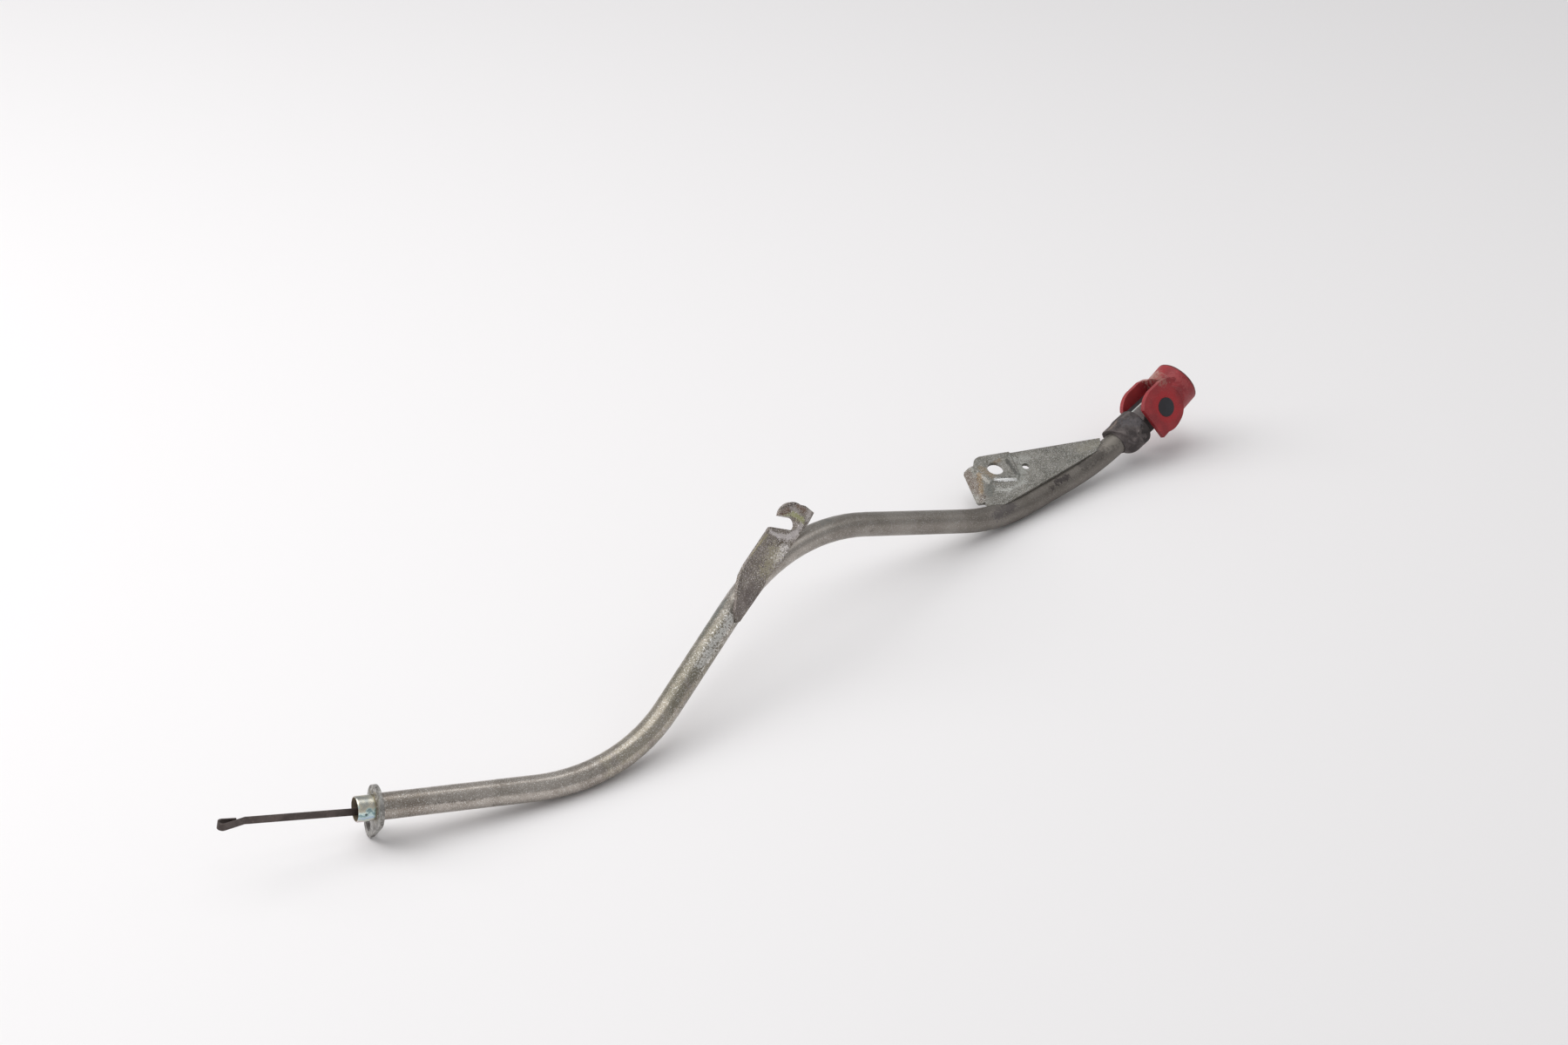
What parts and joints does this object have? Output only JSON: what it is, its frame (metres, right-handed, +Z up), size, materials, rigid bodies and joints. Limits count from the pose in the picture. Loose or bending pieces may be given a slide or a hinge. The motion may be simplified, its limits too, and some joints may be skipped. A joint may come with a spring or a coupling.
{
  "type": "engine oil dipstick",
  "caption": "Dipstick strip with a looped tip in a bent steel guide tube with flange and brackets, and a red fork lever that locks its rubber cap.",
  "frame": {"origin": "centre of the bounding box, on the ground plane it rests on", "axes": "+X along the length, from the looped tip towards the lever; +Z up from the ground it lies on; the cap's lever folds towards +Z"},
  "size_m": [0.6256, 0.0716, 0.0725],
  "materials": {
    "guide_tube": "worn zinc plate, stained",
    "mounting_flange": "pitted zinc plate",
    "hook_bracket": "grimy zinc plate with rust",
    "support_bracket": "worn zinc plate with rust",
    "dipstick_blade": "oil-darkened steel",
    "rubber_cap": "dusty matt",
    "stopper_plug": "matt",
    "stopper_washer": "zinc plate",
    "draw_rod": "zinc plate",
    "pull_strap": "zinc plate",
    "strap_spacer": "matt",
    "pivot_pin": "satin",
    "fork_lever": "satin, moulded"
  },
  "bodies": {
    "tube": {"guide_tube": "guide_tube", "mounting_flange": "mounting_flange", "hook_bracket": "hook_bracket", "support_bracket": "support_bracket", "dipstick_blade": "dipstick_blade", "rubber_cap": "rubber_cap", "stopper_plug": "stopper_plug", "stopper_washer": "stopper_washer", "draw_rod": "draw_rod", "pull_strap": "pull_strap", "strap_spacer": "strap_spacer", "pivot_pin": "pivot_pin"},
    "lever": {"fork_lever": "fork_lever"}
  },
  "joints": [
    {"name": "lever_pivot", "type": "hinge", "parent": "tube", "child": "lever", "pos_m": [0.28773, 0.00597, 0.02526], "axis": [-0.1064, -0.8751, 0.4721], "range_deg": [-6, 84]}
  ]
}
